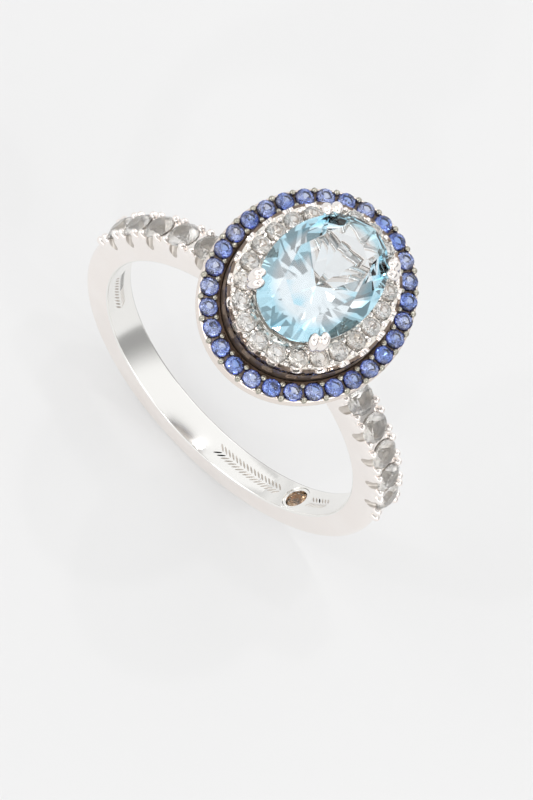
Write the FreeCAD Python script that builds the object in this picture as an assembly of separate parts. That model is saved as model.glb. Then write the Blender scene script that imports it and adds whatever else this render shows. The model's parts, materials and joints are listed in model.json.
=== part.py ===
import FreeCAD, Part
import math
import os

# Cocktail ring: an oval centre stone over two stepped halos, on a band with
# stone-set shoulders. Millimetres. The origin is the centre of the finger
# hole, the finger runs along Y, and the head stands at +Z.

V = FreeCAD.Vector
os.makedirs("parts", exist_ok=True)

# Band
bore_radius = 8.65            # ring size 7: 17.3 mm across the finger hole
band_radius = 10.33           # outside of the plain band
band_width = 1.95             # along the finger
comfort_round = 0.10          # rounding at the two edges of the finger hole
band_round = 0.42             # rounding at the two outer edges
head_seat_z = 10.05           # flat on top of the band that the head is soldered to

# Centre stone, an oval brilliant
centre_half_x = 2.90
centre_half_y = 3.95
centre_girdle_z = 15.66
centre_girdle = 0.12
centre_crown = 0.82
centre_pavilion = 2.60
centre_table = 0.65           # table width as a share of the stone's width

# Small stones: girdle radius, crown height, pavilion depth
small_table = 0.56
small_girdle = 0.04
halo_stone = (0.49, 0.16, 0.42)
collar_stone = (0.50, 0.17, 0.43)
shoulder_stone = (0.86, 0.24, 0.70)
brown_stone = (0.60, 0.17, 0.50)
seat_clearance = 0.02         # left round every small stone

# Outer halo: a flat oval plate with one row of blue stones
halo_count = 30
halo_line_x = 4.832
halo_line_y = 5.742
halo_girdle_z = 13.25
plate_edge_x = 5.30
plate_edge_y = 6.26
plate_top_z = 13.15
plate_bottom_z = 12.35
plate_round = 0.12

# Inner halo: a raised collar with one row of white stones
collar_count = 22
collar_line_x = 3.42
collar_line_y = 4.40
collar_girdle_z = 14.44
collar_edge_x = 4.20
collar_edge_y = 5.00
collar_top_z = 14.34
collar_shelf = 0.50           # thickness of the shelf the stones sit in
collar_wall = 0.30            # thickness of the skirt below the shelf
collar_bottom_z = 12.60
collar_opening = 1.45         # from the collar's outer edge in to its hole
window_width = 0.62
window_height = 0.42
window_z = 13.55

# Grains that hold the small stones
grain_radius = 0.155
grain_spread = 0.36           # from the stone line to a grain's centre
grain_sink = 0.03             # a grain's centre above the metal it is raised from

# Basket under the centre stone
rail_half_x = 1.95
rail_half_y = 2.50
rail_wire = 0.60
gallery_half_x = 2.45
gallery_half_y = 3.32
gallery_wire = 0.40
gallery_z = 12.30
strut_count = 8
strut_radius = 0.28
strut_turn = 0.5              # first strut, in steps round the oval

# Claws: a stem that forks into two pads over the stone's edge
claw_foot = (1.35, 1.80)
claw_waist = (1.93, 2.54, 14.35)
claw_fork = (2.27, 2.97, 15.45)
claw_tip = (2.06, 2.69, 16.28)
claw_radii = (0.31, 0.25, 0.26)   # at the foot, the waist and the fork
pad_radius = 0.30
pad_spread = 0.27

# Shoulders: white stones with scoops cut under them at both edges of the band
shoulder_count = 5
shoulder_first = 32.0         # degrees from the top of the ring
shoulder_step = 10.6
shoulder_girdle_r = 10.38
bead_radius = 0.25
bead_turn = 1.85              # a bead's place either side of a gap, degrees
bead_y = 0.735
bead_r = 10.42                # a bead's centre from the finger axis
scoop_radius = 0.29
scoop_tilt = 30.0             # a scoop's axis from the band's side face, degrees
scoop_r = 10.16

# Brown stone let into the inside of the band
brown_turn = 131.5            # degrees from the top of the ring, towards +X
bezel_radius = 0.80
bezel_depth = 0.95
bezel_inset = 0.02            # below the surface of the finger hole


def save(name, shape):
    shape.exportStep("parts/" + name + ".step")


def oval_wire(half_x, half_y, z):
    ellipse = Part.Ellipse(V(0, half_y, z), V(half_x, 0, z), V(0, 0, z))
    return Part.Wire([ellipse.toShape()])


def oval_disc(half_x, half_y, z_low, z_high):
    face = Part.Face(oval_wire(half_x, half_y, z_low))
    return face.extrude(V(0, 0, z_high - z_low))


def oval_ring(half_x, half_y, wall, z_low, z_high):
    outside = oval_disc(half_x, half_y, z_low, z_high)
    inside = oval_disc(half_x - wall, half_y - wall, z_low - 1, z_high + 1)
    return outside.cut(inside)


def oval_stations(half_x, half_y, count, first):
    """Points at equal steps along an oval, each with its outward direction.

    first is the place of the first point, in steps from the +Y end.
    """
    steps = 3600
    trail = []
    travelled = 0.0
    last = (0.0, half_y)
    for i in range(steps + 1):
        turn = 2 * math.pi * i / steps
        here = (half_x * math.sin(turn), half_y * math.cos(turn))
        travelled += math.hypot(here[0] - last[0], here[1] - last[1])
        trail.append((travelled, turn))
        last = here
    stations = []
    for k in range(count):
        target = (k + first) / count * travelled
        turn = next(t for s, t in trail if s >= target)
        point = V(half_x * math.sin(turn), half_y * math.cos(turn), 0)
        outward = V(math.sin(turn) / half_x, math.cos(turn) / half_y, 0)
        stations.append((point, outward.normalize()))
    return stations


def lathe(profile):
    """Solid of revolution about Z from (radius, height) pairs."""
    points = [V(r, 0, z) for r, z in profile]
    face = Part.Face(Part.makePolygon(points + points[:1]))
    return face.revolve(V(0, 0, 0), V(0, 0, 1), 360)


def aim(shape, origin, direction):
    """Copy of a shape with its own Z turned to direction and moved to origin."""
    turned = shape.copy()
    turned.Placement = FreeCAD.Placement(origin, FreeCAD.Rotation(V(0, 0, 1), direction))
    return turned


def brilliant(half_x, half_y, table, crown, girdle, pavilion, lower=0.24):
    """Brilliant-cut stone with its upper girdle edge at z = 0 and flat facets."""
    eighth = math.pi / 4
    fold = math.cos(eighth / 2)
    star = (1 + table) / 2
    star_z = crown * (1 - (star * fold - table) / (1 - table))
    lower_z = -girdle - pavilion * (1 - lower * fold)

    def point(share, turn, z):
        return V(half_x * share * math.sin(turn), half_y * share * math.cos(turn), z)

    top = [point(table, k * eighth, crown) for k in range(8)]
    stars = [point(star, (k + 0.5) * eighth, star_z) for k in range(8)]
    rim = [point(1, k * eighth / 2, 0) for k in range(16)]
    rim_low = [point(1, k * eighth / 2, -girdle) for k in range(16)]
    lows = [point(lower, (k + 0.5) * eighth, lower_z) for k in range(8)]
    culet = V(0, 0, -girdle - pavilion)
    facets = [top]
    for k in range(8):
        after = (k + 1) % 8
        before = (k - 1) % 8
        main = rim[2 * k]
        middle = rim[2 * k + 1]
        following = rim[(2 * k + 2) % 16]
        main_low = rim_low[2 * k]
        middle_low = rim_low[2 * k + 1]
        following_low = rim_low[(2 * k + 2) % 16]
        facets.append([top[k], top[after], stars[k]])
        facets.append([top[k], stars[k], main, stars[before]])
        facets.append([stars[k], middle, main])
        facets.append([stars[k], following, middle])
        facets.append([main, middle, middle_low, main_low])
        facets.append([middle, following, following_low, middle_low])
        facets.append([lows[k], main_low, middle_low])
        facets.append([lows[k], middle_low, following_low])
        facets.append([culet, lows[before], main_low, lows[k]])
    faces = [Part.Face(Part.makePolygon(f + f[:1])) for f in facets]
    return Part.Solid(Part.makeShell(faces))


def small_stone(sizes):
    radius, crown, pavilion = sizes
    return brilliant(radius, radius, small_table, crown, small_girdle, pavilion)


def seat_tool(sizes, depth):
    """What is cut away for a small stone, with a drilled hole down to depth."""
    radius, crown, pavilion = sizes
    wide = radius + seat_clearance
    table = radius * small_table + seat_clearance
    hole = 0.55 * radius
    hole_z = -small_girdle - 0.5 * pavilion
    return lathe([
        (0, -depth),
        (hole, -depth),
        (hole, hole_z),
        (wide, -small_girdle - seat_clearance),
        (wide, 0),
        (table, crown + seat_clearance),
        (table, crown + 1),
        (0, crown + 1),
    ])


def on_band(turn_degrees, radius, y=0.0):
    """A point at a turn from the top of the ring towards +X."""
    turn = math.radians(turn_degrees)
    return V(radius * math.sin(turn), y, radius * math.cos(turn))


def outward_at(turn_degrees):
    return on_band(turn_degrees, 1.0)


def shoulder_turns(side):
    return [side * (shoulder_first + shoulder_step * k) for k in range(shoulder_count)]


def round_rods(points, radii):
    """Tapered rods through the points with a ball at each; one radius per point."""
    solid = Part.makeSphere(radii[0], points[0])
    for k in range(len(points) - 1):
        start, end = points[k], points[k + 1]
        run = end - start
        rod = Part.makeCone(radii[k], radii[k + 1], run.Length, start, run)
        solid = solid.fuse([rod, Part.makeSphere(radii[k + 1], end)])
    return solid


def make_centre_stone():
    """Oval stone: flat facets trimmed to a true oval outline at the girdle."""
    spread = 1 / math.cos(math.pi / 16)
    facets = brilliant(
        centre_half_x * spread,
        centre_half_y * spread,
        centre_table / spread,
        centre_crown * spread,
        centre_girdle,
        centre_pavilion * spread,
    )
    blank = oval_disc(centre_half_x, centre_half_y, -4, 2)
    stone = facets.common(blank)
    lower_table = -(centre_crown * spread - centre_crown)
    stone.translate(V(0, 0, centre_girdle_z + lower_table))
    return stone.Solids[0]


def make_claw(sign_x, sign_y, stone):
    def mirrored(x, y, z):
        return V(sign_x * x, sign_y * y, z)

    foot = mirrored(claw_foot[0], claw_foot[1], head_seat_z + rail_wire)
    waist = mirrored(*claw_waist)
    fork = mirrored(*claw_fork)
    tip = mirrored(*claw_tip)
    along = V(-tip.y / centre_half_y ** 2, tip.x / centre_half_x ** 2, 0).normalize()
    claw = round_rods([foot, waist, fork], claw_radii)
    for way in (-1, 1):
        top = tip + along * (way * pad_spread)
        claw = claw.fuse(round_rods([fork, top], [claw_radii[2], pad_radius]))
    below = Part.makeBox(20, 20, 5, V(-10, -10, foot.z - 5))
    return claw.cut([stone, below]).removeSplitter().Solids[0]


def make_collar(claws):
    """Raised collar: a shelf for the white stones on a skirt with windows."""
    shelf_z = collar_top_z - collar_shelf
    shelf = oval_ring(collar_edge_x, collar_edge_y, collar_opening, shelf_z, collar_top_z)
    skirt = oval_ring(collar_edge_x, collar_edge_y, collar_wall, collar_bottom_z, shelf_z)
    collar = shelf.fuse(skirt)
    tools = []
    for point, outward in oval_stations(collar_edge_x, collar_edge_y, collar_count, 0):
        window = Part.makeBox(window_width, window_height, 2)
        window.translate(V(-window_width / 2, -window_height / 2, -1))
        turned = FreeCAD.Rotation(V(-outward.y, outward.x, 0), V(0, 0, 1), outward, "ZXY")
        window.Placement = FreeCAD.Placement(V(point.x, point.y, window_z), turned).multiply(
            window.Placement)
        tools.append(window)
    collar = collar.cut(tools)
    grains = grain_row(collar_line_x, collar_line_y, collar_count, 0.5, collar_top_z)
    collar = collar.fuse(grains)
    seats = stone_row(
        seat_tool(collar_stone, 1.2), collar_line_x, collar_line_y, collar_count, 0,
        collar_girdle_z)
    collar = collar.cut(seats + claws)
    return biggest(collar)


def make_halo_plate(collar_outline):
    """Flat oval plate for the blue stones, open in the middle for the collar."""
    plate = oval_disc(plate_edge_x, plate_edge_y, plate_bottom_z, plate_top_z)
    rims = [e for e in plate.Edges if e.BoundBox.ZLength < 0.001]
    plate = plate.makeChamfer(plate_round, rims)
    plate = plate.cut(collar_outline)
    grains = grain_row(halo_line_x, halo_line_y, halo_count, 0.5, plate_top_z)
    plate = plate.fuse(grains)
    seats = stone_row(
        seat_tool(halo_stone, 1.2), halo_line_x, halo_line_y, halo_count, 0, halo_girdle_z)
    return biggest(plate.cut(seats))


def grain_row(half_x, half_y, count, first, z):
    """Two grains in each gap of a stone row, one inside the line, one outside."""
    grains = []
    for point, outward in oval_stations(half_x, half_y, count, first):
        for side in (-1, 1):
            centre = point + outward * (side * grain_spread)
            grains.append(Part.makeSphere(grain_radius, centre + V(0, 0, z + grain_sink)))
    return grains


def stone_row(shape, half_x, half_y, count, first, z):
    row = []
    for point, outward in oval_stations(half_x, half_y, count, first):
        turned = aim(shape, point + V(0, 0, z), V(0, 0, 1))
        row.append(turned)
    return row


def biggest(shape):
    return max(shape.Solids, key=lambda s: s.Volume)


def make_base_rail():
    return oval_ring(
        rail_half_x + rail_wire / 2, rail_half_y + rail_wire / 2, rail_wire,
        head_seat_z, head_seat_z + rail_wire)


def make_gallery_rail(claws):
    rail = oval_ring(
        gallery_half_x + gallery_wire / 2, gallery_half_y + gallery_wire / 2, gallery_wire,
        gallery_z - gallery_wire / 2, gallery_z + gallery_wire / 2)
    return rail.cut(claws)


def make_struts(base_rail, plate):
    """Curved struts from the base rail out to the underside of the outer halo."""
    low = oval_stations(rail_half_x, rail_half_y, strut_count, strut_turn)
    high = oval_stations(halo_line_x - 0.25, halo_line_y - 0.25, strut_count, strut_turn)
    struts = []
    for (start, start_out), (end, end_out) in zip(low, high):
        foot = V(start.x, start.y, head_seat_z + rail_wire - 0.2)
        head = V(end.x, end.y, plate_bottom_z + 0.2)
        belly = (foot + head) * 0.5 + end_out * 0.45 - V(0, 0, 0.45)
        path = Part.Wire([Part.Arc(foot, belly, head).toShape()])
        tangent = path.Edges[0].tangentAt(path.Edges[0].FirstParameter)
        section = Part.Wire([Part.Circle(foot, tangent, strut_radius).toShape()])
        strut = path.makePipeShell([section], True, True)
        struts.append(biggest(strut.cut([base_rail, plate])))
    return Part.makeCompound(struts)


def make_band():
    """Plain round band with softened edges and a flat for the head."""
    tube = Part.makeCylinder(band_radius, band_width, V(0, -band_width / 2, 0), V(0, 1, 0))
    hole = Part.makeCylinder(bore_radius, band_width + 2, V(0, -band_width / 2 - 1, 0), V(0, 1, 0))
    band = tube.cut(hole)
    middle = (bore_radius + band_radius) / 2
    circles = [e for e in band.Edges if isinstance(e.Curve, Part.Circle)]
    outer = [e for e in circles if e.Curve.Radius > middle]
    band = band.makeFillet(band_round, outer)
    circles = [e for e in band.Edges if isinstance(e.Curve, Part.Circle)]
    inner = [e for e in circles if abs(e.Curve.Radius - bore_radius) < 0.001]
    band = band.makeFillet(comfort_round, inner)
    flat = Part.makeBox(12, 12, 3, V(-6, -6, head_seat_z))
    return band.cut(flat)


def shoulder_beads(side):
    """Pairs of beads in each gap between shoulder stones, at both edges."""
    beads = []
    for k in range(shoulder_count + 1):
        gap = side * (shoulder_first + shoulder_step * (k - 0.5))
        for turn in (gap - bead_turn, gap + bead_turn):
            for y in (-bead_y, bead_y):
                beads.append(Part.makeSphere(bead_radius, on_band(turn, bead_r, y)))
    return beads


def shoulder_scoops(side):
    """Slanted scoops under each shoulder stone, open to the band's side faces."""
    scoops = []
    tilt = math.radians(scoop_tilt)
    for turn in shoulder_turns(side):
        for way in (-1, 1):
            middle = on_band(turn, scoop_r, way * band_width / 2)
            inward = outward_at(turn) * math.cos(tilt) - V(0, way * math.sin(tilt), 0)
            start = middle - inward * 1.4
            scoops.append(Part.makeCylinder(scoop_radius, 2.4, start, inward))
    return scoops


def make_shank():
    beads = shoulder_beads(-1) + shoulder_beads(1)
    tools = shoulder_scoops(-1) + shoulder_scoops(1)
    seat = seat_tool(shoulder_stone, 0.9)
    for side in (-1, 1):
        for turn in shoulder_turns(side):
            tools.append(aim(seat, on_band(turn, shoulder_girdle_r), outward_at(turn)))
    pocket_r = bore_radius + bezel_inset + bezel_depth
    pocket = Part.makeCylinder(
        bezel_radius, pocket_r, on_band(brown_turn, pocket_r), outward_at(brown_turn) * -1)
    return biggest(make_band().fuse(beads).cut(tools + [pocket]))


def make_bezel():
    """Short tube that holds the brown stone, facing into the finger hole."""
    face_r = bore_radius + bezel_inset
    tube = Part.makeCylinder(
        bezel_radius, bezel_depth, on_band(brown_turn, face_r), outward_at(brown_turn))
    seat = aim(seat_tool(brown_stone, 2), brown_girdle(), outward_at(brown_turn) * -1)
    return tube.cut(seat)


def brown_girdle():
    return on_band(brown_turn, bore_radius + bezel_inset + brown_stone[1])


centre_stone = make_centre_stone()
corners = [("front_left", -1, -1), ("front_right", 1, -1), ("rear_left", -1, 1), ("rear_right", 1, 1)]
claws = [make_claw(sign_x, sign_y, centre_stone) for name, sign_x, sign_y in corners]
collar = make_collar(claws)
collar_outline = oval_disc(collar_edge_x, collar_edge_y, collar_bottom_z - 1, collar_top_z)
halo_plate = make_halo_plate(collar_outline)
base_rail = make_base_rail()

save("shank", make_shank())
save("signature_bezel", make_bezel())
save("signature_stone", aim(small_stone(brown_stone), brown_girdle(), outward_at(brown_turn) * -1))
save("base_rail", base_rail)
save("gallery_rail", make_gallery_rail(claws))
save("gallery_struts", make_struts(base_rail, halo_plate))
save("outer_halo_plate", halo_plate)
save("inner_halo_collar", collar)
save("centre_stone", centre_stone)
for (name, sign_x, sign_y), claw in zip(corners, claws):
    save("claw_" + name, claw)

blue = stone_row(
    small_stone(halo_stone), halo_line_x, halo_line_y, halo_count, 0, halo_girdle_z)
for number, stone in enumerate(blue, 1):
    save("halo_stone_%02d" % number, stone)

white = stone_row(
    small_stone(collar_stone), collar_line_x, collar_line_y, collar_count, 0, collar_girdle_z)
for name, sign_x, sign_y in corners:
    group = [
        s for s in white
        if (s.BoundBox.Center.x > 0.01) == (sign_x > 0) and (s.BoundBox.Center.y > 0) == (sign_y > 0)
    ]
    save("collar_stones_" + name, Part.makeCompound(group))

for side, label in ((-1, "left"), (1, "right")):
    for number, turn in enumerate(shoulder_turns(side), 1):
        stone = aim(small_stone(shoulder_stone), on_band(turn, shoulder_girdle_r), outward_at(turn))
        save("shoulder_stone_%s_%d" % (label, number), stone)
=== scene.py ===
import json
import math
import random

import bmesh
import bpy
from mathutils import Matrix, Vector


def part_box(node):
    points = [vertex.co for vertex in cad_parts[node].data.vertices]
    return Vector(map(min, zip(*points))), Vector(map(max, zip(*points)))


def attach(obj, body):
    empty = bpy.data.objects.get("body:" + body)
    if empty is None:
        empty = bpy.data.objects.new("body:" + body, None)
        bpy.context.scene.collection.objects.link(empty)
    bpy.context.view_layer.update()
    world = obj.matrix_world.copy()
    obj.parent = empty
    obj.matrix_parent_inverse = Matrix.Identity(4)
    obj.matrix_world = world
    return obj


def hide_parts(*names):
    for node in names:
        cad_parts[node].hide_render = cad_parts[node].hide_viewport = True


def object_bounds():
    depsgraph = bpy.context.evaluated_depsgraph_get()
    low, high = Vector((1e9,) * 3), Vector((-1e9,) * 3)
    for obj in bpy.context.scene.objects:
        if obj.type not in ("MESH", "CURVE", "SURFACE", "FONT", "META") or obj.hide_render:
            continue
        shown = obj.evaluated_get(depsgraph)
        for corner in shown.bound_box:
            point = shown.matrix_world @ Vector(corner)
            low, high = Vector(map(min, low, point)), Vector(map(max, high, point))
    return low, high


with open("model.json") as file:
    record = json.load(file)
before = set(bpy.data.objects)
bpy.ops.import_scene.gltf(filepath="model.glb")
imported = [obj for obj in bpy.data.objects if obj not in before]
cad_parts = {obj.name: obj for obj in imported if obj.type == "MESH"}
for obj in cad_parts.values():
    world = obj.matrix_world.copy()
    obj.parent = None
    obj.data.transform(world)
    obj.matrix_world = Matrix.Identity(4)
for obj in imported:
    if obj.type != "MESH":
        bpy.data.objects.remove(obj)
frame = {"nodes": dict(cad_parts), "record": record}
cadLow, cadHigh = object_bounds()
mm = 0.001
scene = bpy.context.scene
random.seed(7)


def hexToLinear(code):                      # sRGB hex to the linear colour a shader wants
    channels = [int(code[i:i + 2], 16) / 255 for i in (1, 3, 5)]
    linear = [c / 12.92 if c <= 0.04045 else ((c + 0.055) / 1.055) ** 2.4 for c in channels]
    return (*linear, 1.0)


def addNode(tree, kind, sockets=None, links=None, **settings):
    node = tree.nodes.new(kind)
    for name, value in settings.items():
        setattr(node, name, value)
    for name, value in (sockets or {}).items():
        node.inputs[name].default_value = value
    for name, source in (links or {}).items():
        tree.links.new(source, node.inputs[name])
    return node


def newMaterial(name):
    material = bpy.data.materials.new(name)
    material.use_nodes = True
    material.node_tree.nodes.clear()
    return material, material.node_tree


# sterling silver, lathe-polished and rhodium flashed: nearly white, with a faint haze and hair scratches;
# inside the finger hole it is buffed softer and cooler, and a grey line along its +Y edge is a painted dark
# reflection
silverFinish = {"colour": "#fcf8f5", "shade": "#f7f0eb", "roughLow": 0.05, "roughHigh": 0.12,
                "hazeMm": 2.5, "scratchMm": 0.09, "scratchDepth": 0.03,
                "bore": "#f7f6f3", "boreRough": 0.16, "edge": "#8b8782", "paintedLineMm": 0.07}

# black rhodium on the top of the plate: a dark brown mirror, mottled, with a painted highlight as a light ring round
# the rim
rhodiumFinish = {"colour": "#2e2825", "shade": "#7a6d64", "roughLow": 0.12, "roughHigh": 0.34,
                 "blotchMm": 0.24, "paintedRimShine": "#efe5dd", "paintedShineFrom": 0.974, "paintedShineTo": 0.982}

# grains raised with a beading tool, silver under a thin smoke of black rhodium
grainFinish = {"colour": "#d2cfc2", "shade": "#8a857a", "roughLow": 0.14, "roughHigh": 0.30,
               "blotchMm": 0.12}

# the collar's wall, left in the plating bath: brown-grey mirror with lighter streaks
smokedFinish = {"colour": "#b3a295", "shade": "#dccdbf", "roughLow": 0.36, "roughHigh": 0.50,
                "blotchMm": 0.35}

# silver inside the seats and scoops, which no polishing wheel reaches: dull grey, slightly brown
seatFinish = {"colour": "#e2dcd5", "shade": "#b5ada4", "roughLow": 0.25, "roughHigh": 0.45,
              "blotchMm": 0.3}

# bright-cut silver of the collar: white metal sliced by the graver into tiny flats that flash
collarFinish = {"colour": "#fbf8f3", "shade": "#e6dfd5", "roughLow": 0.05, "roughHigh": 0.15,
                "blotchMm": 0.25, "cutMm": 0.17, "cutLean": 0.55,
                # painted shade: a brown ring round the outer rim; painted shadow: olive grey inside the opening under
                # the centre stone
                "rim": "#84756a", "shadeRimFrom": 0.958, "shadeRimTo": 0.966,
                "liningPaintedDark": "#968d82", "paintedShadowHalf": (2.72, 3.52)}

# pale topaz: nearly colourless through the table, sky blue in the crown facets round the edge
topazFinish = {"body": "#fdfeff", "tint": "#a4e4fb", "tintFrom": 0.72, "tintTo": 0.84, "ior": 1.62,
               "absorb": "#94e1f9", "depthMm": 42.0, "crownMm": 0.85}

# tanzanite: periwinkle to cornflower from stone to stone, with painted navy shade where the girdle meets the seat
violetFinish = {"body": "#fbfcff", "zone": "#a3c1fb", "zoneMm": 1.5, "ior": 1.69, "clear": 0.96,
                "absorb": "#6c9cf3", "depthMm": 1.7, "wander": 0.22, "wanderMm": 0.30,
                "edge": "#1f3186", "paintedLineMm": 0.06}

# white topaz: colourless and a little milky, all contrast and no colour, with painted grey shade at the girdle of the
# collar stones
whiteFinish = {"body": "#ffffff", "zone": "#f4f0ea", "zoneMm": 0.9, "ior": 1.62, "clear": 0.93,
               "absorb": "#e8e4dc", "depthMm": 6.0, "wander": 0.14, "wanderMm": 0.42,
               "edge": "#b9b2a8", "paintedLineMm": 0.04}

# smoky quartz: warm brown with a few orange flashes
brownFinish = {"body": "#f6e6d0", "zone": "#dcb07c", "zoneMm": 0.5, "ior": 1.55, "clear": 0.92,
               "absorb": "#9a7448", "depthMm": 2.0, "wander": 0.16, "wanderMm": 0.35,
               "edge": "#5a4a3a", "paintedLineMm": 0.04}


def metalMaterial(name, finish):            # polished metal whose tone and gloss drift a little
    material, tree = newMaterial(name)
    place = addNode(tree, "ShaderNodeTexCoord")
    blotch = addNode(tree, "ShaderNodeTexNoise",
                     {"Scale": 1 / (finish["blotchMm"] * mm), "Detail": 3.0},
                     {"Vector": place.outputs["Object"]})
    tone = addNode(tree, "ShaderNodeMix",
                   {"A": hexToLinear(finish["colour"]), "B": hexToLinear(finish["shade"])},
                   {"Factor": blotch.outputs["Fac"]}, data_type="RGBA")
    gloss = addNode(tree, "ShaderNodeMapRange",
                    {"To Min": finish["roughLow"], "To Max": finish["roughHigh"]},
                    {"Value": blotch.outputs["Fac"]})
    shader = addNode(tree, "ShaderNodeBsdfPrincipled", {"Metallic": 1.0},
                     {"Base Color": tone.outputs["Result"],
                      "Roughness": gloss.outputs["Result"]})
    addNode(tree, "ShaderNodeOutputMaterial", links={"Surface": shader.outputs["BSDF"]})
    return material, tree, place, tone, gloss, shader


def silverMaterial():
    finish = dict(silverFinish, blotchMm=silverFinish["hazeMm"])
    material, tree, place, tone, gloss, shader = metalMaterial("sterling silver polished", finish)
    drawn = addNode(tree, "ShaderNodeMapping", {"Scale": (1.0, 16.0, 1.0)},
                    {"Vector": place.outputs["Object"]})
    scratch = addNode(tree, "ShaderNodeTexNoise",
                      {"Scale": 0.06 / (finish["scratchMm"] * mm), "Detail": 2.0},
                      {"Vector": drawn.outputs["Vector"]})
    bump = addNode(tree, "ShaderNodeBump",
                   {"Strength": finish["scratchDepth"], "Distance": 0.01 * mm},
                   {"Height": scratch.outputs["Fac"]})
    tree.links.new(bump.outputs["Normal"], shader.inputs["Normal"])
    bore = frame["record"]["mounts"][0]["dims"]["r_mm"]
    flat = addNode(tree, "ShaderNodeVectorMath", {1: (1, 0, 1)}, {0: place.outputs["Object"]},
                   operation="MULTIPLY")
    reach = addNode(tree, "ShaderNodeVectorMath", links={0: flat.outputs["Vector"]},
                    operation="LENGTH")
    inBore = addNode(tree, "ShaderNodeMath", {1: (bore + 0.08) * mm}, {0: reach.outputs["Value"]},
                     operation="LESS_THAN")
    split = addNode(tree, "ShaderNodeSeparateXYZ", links={"Vector": place.outputs["Object"]})
    # painted dark reflection: a grey line along the +Y edge of the finger hole
    paintedDarkLine = addNode(tree, "ShaderNodeMath",
                       {1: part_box("shank")[1].y - finish["paintedLineMm"] * mm},
                       {0: split.outputs["Y"]}, operation="GREATER_THAN")
    liningPaintedDark = addNode(tree, "ShaderNodeMix",
                     {"A": hexToLinear(finish["bore"]), "B": hexToLinear(finish["edge"])},
                     {"Factor": paintedDarkLine.outputs[0]}, data_type="RGBA")
    colour = addNode(tree, "ShaderNodeMix",
                     links={"Factor": inBore.outputs[0], "A": tone.outputs["Result"],
                            "B": liningPaintedDark.outputs["Result"]}, data_type="RGBA")
    tree.links.new(colour.outputs["Result"], shader.inputs["Base Color"])
    rough = addNode(tree, "ShaderNodeMix", {"B": finish["boreRough"]},
                    {"Factor": inBore.outputs[0], "A": gloss.outputs["Result"]})
    tree.links.new(rough.outputs["Result"], shader.inputs["Roughness"])
    return material


def ovalMask(tree, place, halfX, halfY, start, end):  # 0 to 1 across a band of an oval's radius
    share = addNode(tree, "ShaderNodeVectorMath", {1: (1 / (halfX * mm), 1 / (halfY * mm), 0)},
                    {0: place.outputs["Object"]}, operation="MULTIPLY")
    reach = addNode(tree, "ShaderNodeVectorMath", links={0: share.outputs["Vector"]},
                    operation="LENGTH")
    return addNode(tree, "ShaderNodeMapRange", {"From Min": start, "From Max": end},
                   {"Value": reach.outputs["Value"]}).outputs["Result"]


def rhodiumMaterial():
    finish = rhodiumFinish
    material, tree, place, tone, gloss, shader = metalMaterial("black rhodium plate", finish)
    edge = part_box("outer_halo_plate")[1] / mm
    # painted highlight: a light ring round the plate's outer rim
    paintedRimShine = ovalMask(tree, place, edge.x, edge.y, finish["paintedShineFrom"], finish["paintedShineTo"])
    colour = addNode(tree, "ShaderNodeMix", {"B": hexToLinear(finish["paintedRimShine"])},
                     {"Factor": paintedRimShine, "A": tone.outputs["Result"]}, data_type="RGBA")
    tree.links.new(colour.outputs["Result"], shader.inputs["Base Color"])
    return material


def wanderingNormal(tree, place, amount, sizeMm):     # many small flats, none of them dead level
    flats = addNode(tree, "ShaderNodeTexVoronoi", {"Scale": 1 / (sizeMm * mm)},
                    {"Vector": place.outputs["Object"]})
    lean = addNode(tree, "ShaderNodeVectorMath", {1: (0.5, 0.5, 0.5)}, {0: flats.outputs["Color"]},
                   operation="SUBTRACT")
    surface = addNode(tree, "ShaderNodeNewGeometry")
    turned = addNode(tree, "ShaderNodeVectorMath", {1: (amount,) * 3},
                     {0: lean.outputs["Vector"], 2: surface.outputs["Normal"]},
                     operation="MULTIPLY_ADD")
    return addNode(tree, "ShaderNodeVectorMath", links={0: turned.outputs["Vector"]},
                   operation="NORMALIZE").outputs["Vector"]


def collarMaterial():
    finish = collarFinish
    material, tree, place, tone, gloss, shader = metalMaterial("bright cut silver", finish)
    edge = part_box("inner_halo_collar")[1] / mm
    # painted shade: brown round the collar's outer rim
    rim = ovalMask(tree, place, edge.x, edge.y, finish["shadeRimFrom"], finish["shadeRimTo"])
    colour = addNode(tree, "ShaderNodeMix", {"B": hexToLinear(finish["rim"])},
                     {"Factor": rim, "A": tone.outputs["Result"]}, data_type="RGBA")
    # painted shadow: olive grey inside the opening under the centre stone
    top = ovalMask(tree, place, *finish["paintedShadowHalf"], 1.0, 1.02)
    shaded = addNode(tree, "ShaderNodeMix", {"A": hexToLinear(finish["liningPaintedDark"])},
                     {"Factor": top, "B": colour.outputs["Result"]}, data_type="RGBA")
    tree.links.new(shaded.outputs["Result"], shader.inputs["Base Color"])
    cuts = wanderingNormal(tree, place, finish["cutLean"], finish["cutMm"])
    surface = addNode(tree, "ShaderNodeNewGeometry")
    facing = addNode(tree, "ShaderNodeMix", links={"Factor": top, "B": cuts,
                                                   "A": surface.outputs["Normal"]},
                     data_type="VECTOR")
    tree.links.new(facing.outputs["Result"], shader.inputs["Normal"])
    return material


def gemBase(name, finish):
    material, tree = newMaterial(name)
    place = addNode(tree, "ShaderNodeTexCoord")
    shader = addNode(tree, "ShaderNodeBsdfPrincipled",
                     {"Roughness": 0.0, "IOR": finish["ior"], "Transmission Weight": 1.0})
    depth = addNode(tree, "ShaderNodeVolumeAbsorption",
                    {"Color": hexToLinear(finish["absorb"]), "Density": 1 / (finish["depthMm"] * mm)})
    addNode(tree, "ShaderNodeOutputMaterial",
            links={"Surface": shader.outputs["BSDF"], "Volume": depth.outputs["Volume"]})
    return material, tree, place, shader


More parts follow.
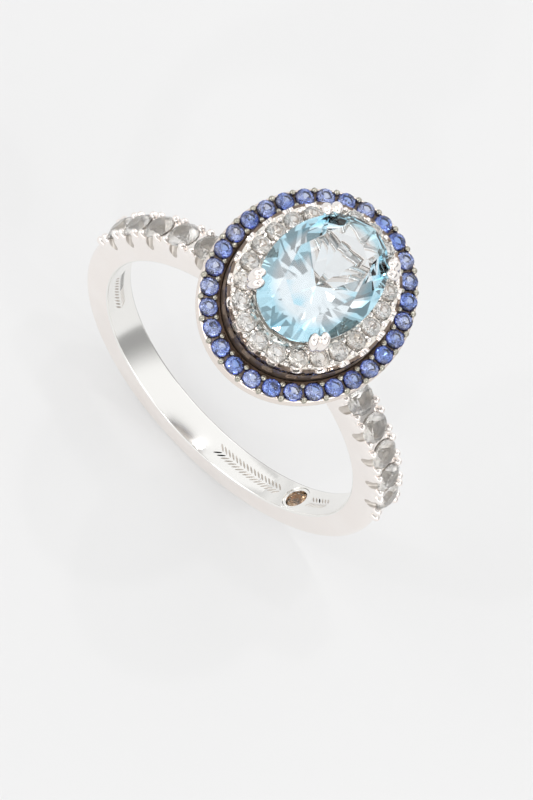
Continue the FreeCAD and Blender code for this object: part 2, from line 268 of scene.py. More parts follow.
def heightBand(tree, place, height, reach):             # 1 at a height in mm, 0 beyond its reach
    split = addNode(tree, "ShaderNodeSeparateXYZ", links={"Vector": place.outputs["Object"]})
    gap = addNode(tree, "ShaderNodeMath", {1: height * mm}, {0: split.outputs["Z"]},
                  operation="SUBTRACT")
    size = addNode(tree, "ShaderNodeMath", links={0: gap.outputs[0]}, operation="ABSOLUTE")
    return addNode(tree, "ShaderNodeMapRange",
                   {"From Min": reach * mm, "From Max": 0.6 * reach * mm},
                   {"Value": size.outputs[0]}).outputs["Result"]


def smallGemMaterial(name, finish, girdle=None):
    material, tree, place, shader = gemBase(name, finish)
    shader.inputs["Transmission Weight"].default_value = finish["clear"]
    zoning = addNode(tree, "ShaderNodeTexNoise",
                     {"Scale": 1 / (finish["zoneMm"] * mm), "Detail": 1.0},
                     {"Vector": place.outputs["Object"]})
    spread = addNode(tree, "ShaderNodeMapRange", {"From Min": 0.40, "From Max": 0.60},
                     {"Value": zoning.outputs["Fac"]})
    tone = addNode(tree, "ShaderNodeMix",
                   {"A": hexToLinear(finish["body"]), "B": hexToLinear(finish["zone"])},
                   {"Factor": spread.outputs["Result"]}, data_type="RGBA")
    if girdle is None:
        tree.links.new(tone.outputs["Result"], shader.inputs["Base Color"])
    else:
        # painted shade: a dark band at the girdle height, where the shade of the seat shows
        paintedGirdleShade = heightBand(tree, place, girdle, finish["paintedLineMm"])
        colour = addNode(tree, "ShaderNodeMix", {"B": hexToLinear(finish["edge"])},
                         {"Factor": paintedGirdleShade, "A": tone.outputs["Result"]}, data_type="RGBA")
        tree.links.new(colour.outputs["Result"], shader.inputs["Base Color"])
    tree.links.new(wanderingNormal(tree, place, finish["wander"], finish["wanderMm"]),
                   shader.inputs["Normal"])
    return material


def topazMaterial():
    finish = topazFinish
    material, tree, place, shader = gemBase("sky blue topaz", finish)
    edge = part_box("centre_stone")[1] / mm
    rim = ovalMask(tree, place, edge.x, edge.y, finish["tintFrom"], finish["tintTo"])
    split = addNode(tree, "ShaderNodeSeparateXYZ", links={"Vector": place.outputs["Object"]})
    above = addNode(tree, "ShaderNodeMath", {1: (edge.z - finish["crownMm"]) * mm},
                    {0: split.outputs["Z"]}, operation="GREATER_THAN")
    rim = addNode(tree, "ShaderNodeMath", links={0: rim, 1: above.outputs[0]},
                  operation="MULTIPLY").outputs[0]
    tone = addNode(tree, "ShaderNodeMix",
                   {"A": hexToLinear(finish["body"]), "B": hexToLinear(finish["tint"])},
                   {"Factor": rim}, data_type="RGBA")
    tree.links.new(tone.outputs["Result"], shader.inputs["Base Color"])
    return material


silver = silverMaterial()
rhodium = rhodiumMaterial()
collarSilver = collarMaterial()
seatSilver = metalMaterial("silver of the seats", seatFinish)[0]
smokedSilver = metalMaterial("silver smoked brown", smokedFinish)[0]
grainSilver = metalMaterial("silver grains blackened", grainFinish)[0]
topaz = topazMaterial()
violetGem = smallGemMaterial("tanzanite", violetFinish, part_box("halo_stone_01")[1].z / mm - 0.16)
whiteGem = smallGemMaterial("white topaz", dict(whiteFinish, clear=0.88))
collarGem = smallGemMaterial("white topaz of the collar", whiteFinish,
                             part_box("collar_stones_front_left")[1].z / mm - 0.17)
brownGem = smallGemMaterial("smoky quartz", brownFinish)
print("materials made")


def addPiece(name, bm, materials, nodes=(), sharpAngle=35):
    mesh = bpy.data.meshes.new(name)
    bm.to_mesh(mesh)
    bm.free()
    piece = bpy.data.objects.new(name, mesh)
    scene.collection.objects.link(piece)
    for material in materials:
        mesh.materials.append(material)
    mesh.polygons.foreach_set("use_smooth", [True] * len(mesh.polygons))
    mesh.set_sharp_from_angle(angle=math.radians(sharpAngle))
    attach(piece, "root")
    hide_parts(*nodes)
    print("made", name, "with", len(mesh.polygons), "faces")
    return piece


def workObject(bm):                         # a throwaway object that holds a bmesh
    mesh = bpy.data.meshes.new("work")
    bm.to_mesh(mesh)
    bm.free()
    for slot in range(3):                   # a cutter's slot number marks the faces it has cut
        mesh.materials.append(None)
    holder = bpy.data.objects.new("work", mesh)
    scene.collection.objects.link(holder)
    return holder


def dropObject(holder):
    mesh = holder.data
    bpy.data.objects.remove(holder)
    bpy.data.meshes.remove(mesh)


def modified(bm, kind, **settings):         # the bmesh after one modifier
    holder = workObject(bm)
    modifier = holder.modifiers.new(kind, kind)
    for key, value in settings.items():
        setattr(modifier, key, value)
    evaluated = holder.evaluated_get(bpy.context.evaluated_depsgraph_get())
    result = bpy.data.meshes.new_from_object(evaluated)
    dropObject(holder)
    out = bmesh.new()
    out.from_mesh(result)
    bpy.data.meshes.remove(result)
    return out


def carve(bm, tools):                       # cuts the tools out of a solid
    cutter = workObject(tools)
    out = modified(bm, "BOOLEAN", operation="DIFFERENCE", solver="EXACT", object=cutter)
    dropObject(cutter)
    return out


def addCopy(bm, other, matrix=Matrix()):    # adds a placed copy of another bmesh
    mesh = bpy.data.meshes.new("copy")
    other.to_mesh(mesh)
    mesh.transform(matrix)
    bm.from_mesh(mesh)
    bpy.data.meshes.remove(mesh)


def setMaterial(bm, index):
    for face in bm.faces:
        face.material_index = index


def lathe(profile, segments, materialIndex=0):   # (radius, height) pairs in mm, turned about Z
    bm = bmesh.new()
    verts = [bm.verts.new((r * mm, 0, z * mm)) for r, z in profile]
    edges = [bm.edges.new(pair) for pair in zip(verts, verts[1:])]
    bmesh.ops.spin(bm, geom=verts + edges, cent=(0, 0, 0), axis=(0, 0, 1),
                   angle=2 * math.pi, steps=segments, use_merge=True)
    bmesh.ops.remove_doubles(bm, verts=bm.verts, dist=0.0005 * mm)
    bmesh.ops.recalc_face_normals(bm, faces=bm.faces)
    setMaterial(bm, materialIndex)
    return bm


def ovalWalk(halfX, halfY, count, first):   # equal steps round an oval: point and outward direction
    steps = 3600
    trail = []
    travelled = 0
    last = Vector((0, halfY, 0))
    for i in range(steps + 1):
        turn = 2 * math.pi * i / steps
        here = Vector((halfX * math.sin(turn), halfY * math.cos(turn), 0))
        travelled += (here - last).length
        trail.append((travelled, turn))
        last = here
    stations = []
    for k in range(count):
        target = (k + first) / count * travelled
        turn = next(t for s, t in trail if s >= target)
        point = Vector((halfX * math.sin(turn), halfY * math.cos(turn), 0))
        outward = Vector((math.sin(turn) / halfX, math.cos(turn) / halfY, 0)).normalized()
        stations.append((point, outward))
    return stations


def standing(point, up, outward):           # local Z along up, local X towards outward, place in mm
    z = up.normalized()
    x = (outward - z * outward.dot(z)).normalized()
    turn = Matrix((x, z.cross(x), z)).transposed().to_4x4()
    return Matrix.Translation(point * mm) @ turn


def onBand(turnDegrees, radius, y=0.0):     # a turn from the top of the ring towards +X
    turn = math.radians(turnDegrees)
    return Vector((radius * math.sin(turn), y, radius * math.cos(turn)))


def boxMm(node):
    low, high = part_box(node)
    return low / mm, high / mm


alongX, alongY, alongZ = (Vector(v) for v in ((1, 0, 0), (0, 1, 0), (0, 0, 1)))


def seatTool(radius, crown, pavilion, depth, segments=40, materialIndex=1):   # what a setter drills for a small stone
    wide = radius + 0.02
    return lathe([
        (0, -depth), (0.55 * radius, -depth), (0.55 * radius, -0.04 - 0.5 * pavilion),
        (wide, -0.06), (wide, 0.0), (0.6 * radius, crown + 0.02), (0.6 * radius, crown + 1),
        (0, crown + 1)], segments, materialIndex)


def grainShape(radius, tall, segments=12):  # a domed grain on a short stem, its foot at z = 0
    return lathe([
        (0, -0.12), (0.92 * radius, -0.12), (0.98 * radius, 0.25 * tall), (0.90 * radius, 0.58 * tall),
        (0.64 * radius, 0.85 * tall), (0.30 * radius, 0.97 * tall), (0, tall)], segments)


def softenRims(bm, offset, segments):       # rounds every edge where two faces meet at a corner
    rims = [e for e in bm.edges if len(e.link_faces) == 2 and e.calc_face_angle() > math.radians(50)]
    bmesh.ops.bevel(bm, geom=rims, offset=offset * mm, affect="EDGES", segments=segments,
                    profile=0.5, material=-1, clamp_overlap=True)


shankLow, shankHigh = boxMm("shank")
band = {
    "bore": frame["record"]["mounts"][0]["dims"]["r_mm"], "outer": -shankLow.z,
    "halfWidth": 0.975, "comfortRound": 0.10, "outerRound": 0.42, "segments": 360,
    "firstStone": 32.0, "stoneStep": 10.6, "stoneCount": 5, "girdleAt": 10.38,
    "stone": (0.86, 0.24, 0.70), "bead": 0.25, "beadTall": 0.46, "beadFoot": 10.19,
    "beadTurn": 1.85, "beadLine": 0.73, "scoop": 0.29, "scoopTilt": 30, "scoopAt": 10.16,
    "softEdge": 0.02, "pocketTurn": 131.5, "pocket": 0.80, "pocketDepth": 0.97,
}

# laurel engraved inside the band: first and last turn from the bottom, and how many pairs of leaves
ornament = {"runs": ((11.0, 39.0, 17), (57.0, 66.0, 6), (-79.0, -61.0, 11)),
            "long": 0.25, "wide": 0.045, "deep": 0.045, "lean": 50, "off": 0.20}


def bandBlank():                            # rounded section swept once round the finger
    bm = bmesh.new()
    corners = [(band["bore"], -1), (band["outer"], -1), (band["outer"], 1), (band["bore"], 1)]
    verts = [bm.verts.new((0, side * band["halfWidth"] * mm, r * mm)) for r, side in corners]
    bm.faces.new(verts)
    middle = (band["bore"] + band["outer"]) / 2 * mm
    for isOuter, rounding, segments in ((True, "outerRound", 8), (False, "comfortRound", 4)):
        picked = [v for v in bm.verts if (v.co.z > middle) == isOuter]
        bmesh.ops.bevel(bm, geom=picked, offset=band[rounding] * mm, affect="VERTICES",
                        segments=segments, profile=0.5, material=-1)
    bmesh.ops.delete(bm, geom=bm.faces[:], context="FACES_ONLY")
    bmesh.ops.spin(bm, geom=bm.verts[:] + bm.edges[:], cent=(0, 0, 0), axis=(0, 1, 0),
                   angle=2 * math.pi, steps=band["segments"], use_merge=True)
    bmesh.ops.remove_doubles(bm, verts=bm.verts, dist=0.0005 * mm)
    bmesh.ops.recalc_face_normals(bm, faces=bm.faces)
    return bm


def stoneTurns():
    return [side * (band["firstStone"] + band["stoneStep"] * k)
            for side in (-1, 1) for k in range(band["stoneCount"])]


def scoopTools():
    tools = bmesh.new()
    tilt = math.radians(band["scoopTilt"])
    scoop = bmesh.new()
    bmesh.ops.create_cone(scoop, cap_ends=True, segments=32, radius1=band["scoop"] * mm,
                          radius2=band["scoop"] * mm, depth=2.6 * mm)
    setMaterial(scoop, 1)
    for turn in stoneTurns():
        for way in (-1, 1):
            up = onBand(turn, math.cos(tilt), -way * math.sin(tilt))
            middle = onBand(turn, band["scoopAt"], way * band["halfWidth"])
            addCopy(tools, scoop, standing(middle, up, alongY * way))
    scoop.free()
    return tools


def seatTools():
    tools = bmesh.new()
    seat = seatTool(*band["stone"], 0.9)
    for turn in stoneTurns():
        addCopy(tools, seat, standing(onBand(turn, band["girdleAt"]), onBand(turn, 1), alongY))
    seat.free()
    pocket = bmesh.new()
    depth = band["pocketDepth"] + 0.5
    bmesh.ops.create_cone(pocket, cap_ends=True, segments=64, radius1=band["pocket"] * mm,
                          radius2=band["pocket"] * mm, depth=depth * mm)
    middle = onBand(band["pocketTurn"], band["bore"] + band["pocketDepth"] - depth / 2)
    addCopy(tools, pocket, standing(middle, middle, alongY))
    pocket.free()
    headSeat = boxMm("base_rail")[0].z
    flat = bmesh.new()
    bmesh.ops.create_cube(flat, size=8 * mm)
    addCopy(tools, flat, Matrix.Translation((0, 0, (headSeat + 4) * mm)))
    flat.free()
    return tools


def leafTools():                            # pairs of pointed cuts that lean along the band
    tools = bmesh.new()
    leaf = bmesh.new()
    bmesh.ops.create_uvsphere(leaf, u_segments=12, v_segments=10, radius=1.0)
    bmesh.ops.scale(leaf, vec=Vector((ornament["wide"], ornament["deep"], ornament["long"])) * mm,
                    verts=leaf.verts)
    setMaterial(leaf, 1)
    for first, last, count in ornament["runs"]:
        for k in range(count):
            turn = 180 - (first + (last - first) * k / (count - 1))
            around = Vector((math.cos(math.radians(turn)), 0, -math.sin(math.radians(turn))))
            for way in (-1, 1):
                lean = math.radians(ornament["lean"]) * way
                up = alongY * math.cos(lean) + around * math.sin(lean)
                side = around * math.cos(lean) - alongY * math.sin(lean)
                middle = onBand(turn, band["bore"], way * ornament["off"])
                addCopy(tools, leaf, standing(middle, up, side))
    leaf.free()
    return tools


def makeShank():
    bm = carve(bandBlank(), scoopTools())
    bm = carve(bm, seatTools())
    bm = carve(bm, leafTools())
    softenRims(bm, band["softEdge"], 2)
    bead = grainShape(band["bead"], band["beadTall"], 16)
    for side in (-1, 1):
        for k in range(band["stoneCount"] + 1):
            gap = side * (band["firstStone"] + band["stoneStep"] * (k - 0.5))
            for turn in (gap - band["beadTurn"], gap + band["beadTurn"]):
                for y in (-band["beadLine"], band["beadLine"]):
                    foot = onBand(turn, band["beadFoot"], y)
                    size = random.uniform(0.95, 1.04)
                    place = standing(foot, onBand(turn, 1, 0.10 * y), alongY)
                    addCopy(bm, bead, place @ Matrix.Diagonal((size, size, 1, 1)))
    bead.free()
    return addPiece("shank_polished", bm, [silver, seatSilver], ["shank"])


makeShank()

bezel = {"outer": band["pocket"], "lip": 0.10, "inset": 0.02, "depth": 0.95, "stone": (0.60, 0.17, 0.50)}


def makeBezel():                            # rolled lip round the brown stone, facing the finger
    radius, crown, pavilion = bezel["stone"]
    opening = 0.62
    bm = lathe([
        (opening, -bezel["depth"]), (bezel["outer"], -bezel["depth"]), (bezel["outer"], -0.05),
        (bezel["outer"] - 0.02, -0.015), (bezel["outer"] - 0.06, 0.0), (opening + 0.03, -0.01),
        (opening, -0.04), (opening, -bezel["depth"])], 64)
    turn = band["pocketTurn"]
    bmesh.ops.transform(bm, verts=bm.verts, matrix=standing(
        onBand(turn, band["bore"] + bezel["inset"]), -onBand(turn, 1), alongY))
    addPiece("signature_bezel_rolled", bm, [silver], ["signature_bezel"])


makeBezel()


def ovalBand(outer, inner, low, high, segments):   # flat ring between two ovals, given in mm
    bm = bmesh.new()
    bmesh.ops.create_circle(bm, cap_ends=False, radius=mm, segments=segments)
    bmesh.ops.transform(bm, verts=bm.verts, matrix=Matrix.Translation((0, 0, high * mm))
                        @ Matrix.Diagonal((outer[0], outer[1], 1, 1)))
    made = bmesh.ops.extrude_edge_only(bm, edges=bm.edges[:])
    inside = [g for g in made["geom"] if isinstance(g, bmesh.types.BMVert)]
    bmesh.ops.scale(bm, vec=(inner[0] / outer[0], inner[1] / outer[1], 1), verts=inside)
    made = bmesh.ops.extrude_face_region(bm, geom=bm.faces[:])
    under = [g for g in made["geom"] if isinstance(g, bmesh.types.BMVert)]
    bmesh.ops.translate(bm, vec=(0, 0, (low - high) * mm), verts=under)
    bmesh.ops.recalc_face_normals(bm, faces=bm.faces)
    return bm


def addGrains(bm, halfX, halfY, count, first, z, spread, radius, tall, materialIndex):
    grain = grainShape(radius, tall)
    setMaterial(grain, materialIndex)
    for point, outward in ovalWalk(halfX, halfY, count, first):
        for side in (-1, 1):
            foot = point + outward * side * spread + alongZ * z
            size = random.uniform(0.90, 1.05)
            addCopy(bm, grain, standing(foot, alongZ, outward) @ Matrix.Diagonal((size, size, 1, 1)))
    grain.free()


plateLow, plateHigh = boxMm("outer_halo_plate")
collarLow, collarHigh = boxMm("inner_halo_collar")
halo = {
    "edge": (plateHigh.x, plateHigh.y), "inner": (collarHigh.x, collarHigh.y),
    "bottom": plateLow.z, "top": 13.15, "rim": 0.12, "underside": 0.34, "line": (4.832, 5.742), "count": 30,
    "girdle": 13.25, "stone": (0.49, 0.16, 0.42), "grain": 0.18, "grainTall": 0.18, "spread": 0.36,
}


def makeHaloPlate():
    bm = ovalBand(halo["edge"], halo["inner"], halo["bottom"], halo["top"], 300)
    under = [e for e in bm.edges if all(v.co.z < (halo["bottom"] + 0.01) * mm for v in e.verts)
             and all(v.co.xy.length > halo["edge"][0] * 0.99 * mm for v in e.verts)]
    bmesh.ops.bevel(bm, geom=under, offset=halo["underside"] * mm, affect="EDGES", segments=6,
                    profile=0.5, material=-1)
    softenRims(bm, halo["rim"], 3)
    seats = bmesh.new()
    seat = seatTool(*halo["stone"], 1.2, materialIndex=0)
    for point, outward in ovalWalk(*halo["line"], halo["count"], 0):
        addCopy(seats, seat, standing(point + alongZ * halo["girdle"], alongZ, outward))
    seat.free()
    bm = carve(bm, seats)
    addGrains(bm, *halo["line"], halo["count"], 0.5, halo["top"], halo["spread"],
              halo["grain"], halo["grainTall"], 1)
    addPiece("outer_halo_plate_blackened", bm, [rhodium, grainSilver],
             ["outer_halo_plate"])


makeHaloPlate()

collar = {
    "edge": (collarHigh.x, collarHigh.y), "opening": 1.62, "wall": 0.30, "top": 14.34,
    "shelf": 0.50, "bottom": collarLow.z, "line": (3.42, 4.40), "count": 22, "girdle": 14.44,
    "stone": (0.50, 0.17, 0.43), "grain": 0.165, "grainTall": 0.17, "spread": 0.37, "rim": 0.04,
    "window": (0.62, 0.42), "windowAt": 13.55, "scoop": 0.33, "scoopRise": 0.13,
}


def windowTools():                          # rounded windows through the wall
    tools = bmesh.new()
    window = bmesh.new()
    bmesh.ops.create_cube(window, size=mm)
    bmesh.ops.scale(window, vec=(2.0, *collar["window"]), verts=window.verts)
    longEdges = [e for e in window.edges if abs((e.verts[0].co - e.verts[1].co).x) > mm]
    bmesh.ops.bevel(window, geom=longEdges, offset=0.12 * mm, affect="EDGES", segments=4,
                    profile=0.5, material=-1)
    for point, outward in ovalWalk(*collar["edge"], collar["count"], 0):
        addCopy(tools, window, standing(point + alongZ * collar["windowAt"], alongZ, outward))
    window.free()
    return tools


def lipTools():                             # round grooves that open each seat to the outside
    tools = bmesh.new()
    scoop = bmesh.new()
    bmesh.ops.create_cone(scoop, cap_ends=True, segments=36, radius1=collar["scoop"] * mm,
                          radius2=collar["scoop"] * mm, depth=0.56 * mm)
    setMaterial(scoop, 2)
    for point, outward in ovalWalk(*collar["edge"], collar["count"], 0):
        middle = point + alongZ * (collar["top"] + collar["scoopRise"])
        addCopy(tools, scoop, standing(middle, outward + alongZ * 0.25, alongZ))
    scoop.free()
    return tools


def makeCollar():
    shelfZ = collar["top"] - collar["shelf"]
    inner = [half - collar["opening"] for half in collar["edge"]]
    wall = [half - collar["wall"] for half in collar["edge"]]
    bm = ovalBand(collar["edge"], inner, shelfZ, collar["top"], 264)
    softenRims(bm, collar["rim"], 2)
    bm = carve(bm, lipTools())
    seats = bmesh.new()
    seat = seatTool(*collar["stone"], 1.2, materialIndex=2)
    for point, outward in ovalWalk(*collar["line"], collar["count"], 0):
        addCopy(seats, seat, standing(point + alongZ * collar["girdle"], alongZ, outward))
    seat.free()
    bm = carve(bm, seats)
    softenRims(bm, 0.02, 2)
    addGrains(bm, *collar["line"], collar["count"], 0.5, collar["top"], collar["spread"],
              collar["grain"], collar["grainTall"], 2)
    addPiece("inner_halo_collar_bright", bm,
             [collarSilver, seatSilver, silver], ["inner_halo_collar"])
    skirt = carve(ovalBand(collar["edge"], wall, collar["bottom"], shelfZ, 264), windowTools())
    addPiece("inner_halo_skirt_blackened", skirt, [smokedSilver])


makeCollar()

# a claw: (x, y, z, radius) up the stem, then one pad, each with its distance from the middle line
claw = {
    "stem": ((1.35, 1.80, 10.66, 0.31), (1.93, 2.54, 14.35, 0.24), (2.27, 2.97, 15.15, 0.22)),
    "pad": ((2.26, 2.96, 15.20, 0.15, 0.07), (2.31, 3.02, 15.62, 0.21, 0.20),
            (2.26, 2.95, 15.98, 0.265, 0.275), (2.15, 2.81, 16.17, 0.285, 0.285),
            (2.07, 2.71, 16.21, 0.25, 0.275)),
    "voxel": 0.032, "steps": 8,
}


def smoothPath(points, steps):              # points and radii joined by one even curve
    ends = [2 * points[0] - points[1], *points, 2 * points[-1] - points[-2]]
    path = []
    for a, b, c, d in zip(ends, ends[1:], ends[2:], ends[3:]):
        for k in range(steps):
            t = k / steps
            path.append(0.5 * (2 * b + (c - a) * t + (2 * a - 5 * b + 4 * c - d) * t ** 2
                               + (3 * b - a - 3 * c + d) * t ** 3))
    return [*path, points[-1]]


def beadString(bm, points, steps):          # overlapping balls along a curve through (x, y, z, radius)
    for x, y, z, radius in smoothPath([Vector(p) for p in points], steps):
        bmesh.ops.create_icosphere(bm, subdivisions=3, radius=radius * mm,
                                   matrix=Matrix.Translation(Vector((x, y, z)) * mm))


def makeClaw(name, signX, signY):
    bm = bmesh.new()
    beadString(bm, [(signX * x, signY * y, z, r) for x, y, z, r in claw["stem"]], 24)
    halfX, halfY = boxMm("centre_stone")[1].xy
    tipX, tipY = claw["pad"][3][:2]
    along = Vector((-signY * tipY / halfY ** 2, signX * tipX / halfX ** 2)).normalized()
    for way in (-1, 1):
        beadString(bm, [(signX * x + along.x * way * part, signY * y + along.y * way * part, z, r)
                        for x, y, z, r, part in claw["pad"]], claw["steps"])
    bm = modified(bm, "REMESH", mode="VOXEL", voxel_size=claw["voxel"] * mm)
    for turn in range(3):
        bmesh.ops.smooth_vert(bm, verts=bm.verts, factor=0.5, use_axis_x=True, use_axis_y=True,
                              use_axis_z=True)
    addPiece("claw_" + name + "_split", bm, [silver], ["claw_" + name], 80)


corners = {"front_left": (-1, -1), "front_right": (1, -1), "rear_left": (-1, 1), "rear_right": (1, 1)}
for name, signs in corners.items():
    makeClaw(name, *signs)

gallery = {"railRound": 0.14, "wire": 0.40, "baseWire": 0.60, "struts": 8, "strut": 0.28,
           "low": (1.95, 2.50), "high": (4.58, 5.49), "belly": 0.45}


def makeRail(name, node, wire):
    low, high = boxMm(node)
    outer = (high.x, high.y)
    bm = ovalBand(outer, [half - wire for half in outer], low.z, high.z, 160)
    softenRims(bm, gallery["railRound"], 4)
    addPiece(name, bm, [silver], [node], 60)


makeRail("base_rail_rounded", "base_rail", gallery["baseWire"])
makeRail("gallery_rail_rounded", "gallery_rail", gallery["wire"])


def makeStruts():                           # round wires that sweep out to carry the outer halo
    curve = bpy.data.curves.new("struts", "CURVE")
    curve.dimensions = "3D"
    curve.bevel_depth = gallery["strut"] * mm
    curve.bevel_resolution = 6
    curve.resolution_u = 16
    curve.use_fill_caps = True
    footZ = boxMm("base_rail")[1].z - 0.15
    headZ = plateLow.z + 0.1
    low = ovalWalk(*gallery["low"], gallery["struts"], 0.5)
    high = ovalWalk(*gallery["high"], gallery["struts"], 0.5)
    for (start, startOut), (end, endOut) in zip(low, high):
        foot = start + alongZ * footZ
        head = end + alongZ * headZ
        belly = (foot + head) / 2 + endOut * gallery["belly"] * 2 - alongZ * gallery["belly"] * 2
        spline = curve.splines.new("NURBS")
        spline.points.add(2)
        for point, where in zip(spline.points, (foot, belly, head)):
            point.co = (*(where * mm), 1)
        spline.order_u = 3
        spline.use_endpoint_u = True
    holder = bpy.data.objects.new("struts", curve)
    mesh = bpy.data.meshes.new_from_object(holder)
    bpy.data.objects.remove(holder)
    bm = bmesh.new()
    bm.from_mesh(mesh)
    bmesh.ops.remove_doubles(bm, verts=bm.verts, dist=0.0005 * mm)
    bmesh.ops.recalc_face_normals(bm, faces=bm.faces)
    addPiece("gallery_struts_round", bm, [silver], ["gallery_struts"], 60)


makeStruts()


def dress(prefix, material):                # the faceted stones keep their CAD shape
    for name, node in frame["nodes"].items():
        if name.startswith(prefix):
            node.data.materials.clear()
            node.data.materials.append(material)


dress("centre_stone", topaz)
dress("halo_stone", violetGem)
dress("collar_stones", collarGem)
dress("shoulder_stone", whiteGem)
dress("signature_stone", brownGem)
print("stones dressed")

studio = {"floor": "#b0b0b0", "glow": 0.341, "floorHalf": 3.0, "horizon": 0.74,
          "zenith": 1.0, "hazeTop": 0.26}

# a white tent with softboxes and black flags: azimuth, elevation, half-width, half-height and two
# blurs in degrees, then brightness
tent = {
    "softLeft": (-62, 42, 20, 15, 4, 4, 2.2), "softRight": (70, 36, 13, 18, 4, 4, 1.9),
    "softBack": (178, 26, 26, 9, 4, 3, 2.0), "stripFront": (12, 24, 26, 6, 3, 3, 1.6),
    "flagTop": (172, 82, 15, 10, 4, 4, 0.46), "flagRight": (116, 0, 34, 22, 6, 12, 0.36),
    "flagLeft": (-118, 24, 18, 10, 8, 8, 0.70), "flagFront": (-22, 58, 18, 10, 3, 3, 0.34),
    "flagBack": (150, 18, 9, 8, 3, 3, 0.50), "flagSide": (38, 60, 9, 12, 3, 3, 0.38),
}


def makeFloor():                            # pale card, lit a little from below
    bm = bmesh.new()
    bmesh.ops.create_grid(bm, x_segments=1, y_segments=1, size=studio["floorHalf"])
    mesh = bpy.data.meshes.new("floor")
    bm.to_mesh(mesh)
    bm.free()
    floor = bpy.data.objects.new("floor", mesh)
    mesh.transform(Matrix.Translation((0, 0, cadLow.z - 0.01 * mm)))
    scene.collection.objects.link(floor)
    material, tree = newMaterial("opal acrylic sheet")
    place = addNode(tree, "ShaderNodeTexCoord")
    grain = addNode(tree, "ShaderNodeTexNoise", {"Scale": 900.0}, {"Vector": place.outputs["Object"]})
    rough = addNode(tree, "ShaderNodeMapRange", {"To Min": 0.55, "To Max": 0.7},
                    {"Value": grain.outputs["Fac"]})
    shader = addNode(tree, "ShaderNodeBsdfPrincipled",
                     {"Base Color": hexToLinear(studio["floor"]), "Emission Color": (1, 1, 1, 1),
                      "Emission Strength": studio["glow"]},
                     {"Roughness": rough.outputs["Result"]})
    addNode(tree, "ShaderNodeOutputMaterial", links={"Surface": shader.outputs["BSDF"]})
    mesh.materials.append(material)


def skyVector(azimuth, elevation):
    az, el = math.radians(azimuth), math.radians(elevation)
    return Vector((math.sin(az) * math.cos(el), -math.cos(az) * math.cos(el), math.sin(el)))


def skyPatch(tree, direction, axes, halfWidth, halfHeight, blurWidth, blurHeight):
    parts = [addNode(tree, "ShaderNodeVectorMath", {1: axis}, {0: direction},
                     operation="DOT_PRODUCT").outputs["Value"] for axis in axes]
    mask = addNode(tree, "ShaderNodeMath", {1: 0.01}, {0: parts[0]},
                   operation="GREATER_THAN").outputs[0]
    for part, half, blur in ((parts[1], halfWidth, blurWidth), (parts[2], halfHeight, blurHeight)):
        slope = addNode(tree, "ShaderNodeMath", links={0: part, 1: parts[0]}, operation="DIVIDE")
        size = addNode(tree, "ShaderNodeMath", links={0: slope.outputs[0]}, operation="ABSOLUTE")
        inside = addNode(tree, "ShaderNodeMapRange",
                         {"From Min": math.tan(math.radians(half + blur)),
                          "From Max": math.tan(math.radians(half - blur))},
                         {"Value": size.outputs[0]}, interpolation_type="SMOOTHSTEP")
        mask = addNode(tree, "ShaderNodeMath", links={0: mask, 1: inside.outputs["Result"]},
                       operation="MULTIPLY").outputs[0]
    return mask


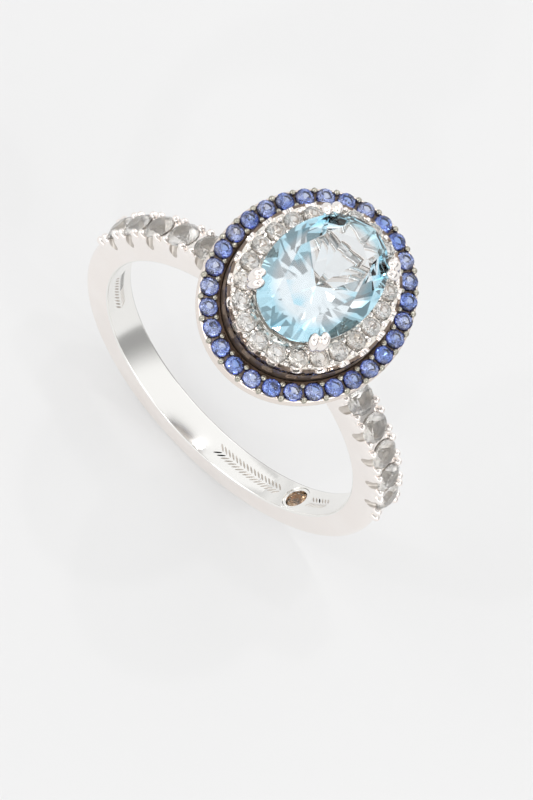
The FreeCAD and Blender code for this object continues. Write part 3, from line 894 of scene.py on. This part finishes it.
def makeWorld():
    world = bpy.data.worlds.new("tent")
    scene.world = world
    world.use_nodes = True
    tree = world.node_tree
    tree.nodes.clear()
    place = addNode(tree, "ShaderNodeTexCoord")
    split = addNode(tree, "ShaderNodeSeparateXYZ", links={"Vector": place.outputs["Generated"]})
    level = addNode(tree, "ShaderNodeMapRange",
                    {"From Max": studio["hazeTop"], "To Min": studio["horizon"],
                     "To Max": studio["zenith"]},
                    {"Value": split.outputs["Z"]}, interpolation_type="SMOOTHSTEP").outputs["Result"]
    direction = place.outputs["Generated"]
    for azimuth, elevation, *shape in tent.values():
        ahead = skyVector(azimuth, elevation)
        across = skyVector(azimuth + 90, 0)
        patch = skyPatch(tree, direction, (ahead, across, ahead.cross(across)), *shape[:4])
        level = addNode(tree, "ShaderNodeMix", {"B": shape[4]},
                        {"Factor": patch, "A": level}).outputs["Result"]
    shine = addNode(tree, "ShaderNodeBackground", {"Color": (1, 1, 1, 1)}, {"Strength": level})
    addNode(tree, "ShaderNodeOutputWorld", links={"Surface": shine.outputs["Background"]})


# small hard lamps that put the sparks in the stones
lamps = {
    "sparkLeft": {"at": (-0.22, -0.20, 0.36), "size": 0.014, "power": 0.10},
    "sparkRight": {"at": (0.28, 0.02, 0.34), "size": 0.014, "power": 0.10},
    "sparkBack": {"at": (0.012, 0.07, 0.394), "size": 0.012, "power": 0.08},
    "sparkTop": {"at": (-0.08, 0.10, 0.40), "size": 0.012, "power": 0.08},
    "sparkFront": {"at": (0.10, -0.30, 0.26), "size": 0.014, "power": 0.08},
}


def makeLamps():
    for name, lamp in lamps.items():
        data = bpy.data.lights.new(name, "AREA")
        data.size = lamp["size"]
        data.energy = lamp["power"]
        holder = bpy.data.objects.new(name, data)
        scene.collection.objects.link(holder)
        where = Vector(lamp["at"])
        holder.location = where
        holder.rotation_mode = "QUATERNION"
        holder.rotation_quaternion = where.to_track_quat("Z", "Y")


view = {"azimuth": 5.42, "elevation": 65.31, "roll": 40.33, "distance": 0.22864,
        "aim": (0.00179, 0.00022, 0.00003), "lens": 193.5}


def makeCamera():
    azimuth, elevation, roll = (math.radians(view[k]) for k in ("azimuth", "elevation", "roll"))
    back = Vector((math.sin(azimuth) * math.cos(elevation),
                   -math.cos(azimuth) * math.cos(elevation), math.sin(elevation)))
    levelRight = Vector((math.cos(azimuth), math.sin(azimuth), 0))
    levelUp = back.cross(levelRight)
    right = levelRight * math.cos(roll) + levelUp * math.sin(roll)
    up = levelUp * math.cos(roll) - levelRight * math.sin(roll)
    data = bpy.data.cameras.new("camera")
    data.lens = view["lens"]
    data.clip_start = 0.01
    data.clip_end = 20
    camera = bpy.data.objects.new("camera", data)
    scene.collection.objects.link(camera)
    turn = Matrix((right, up, back)).transposed().to_4x4()
    camera.matrix_world = Matrix.Translation(Vector(view["aim"]) + back * view["distance"]) @ turn
    scene.camera = camera


makeFloor()
makeWorld()
makeLamps()
makeCamera()
scene.view_settings.view_transform = "Standard"
print("studio ready")
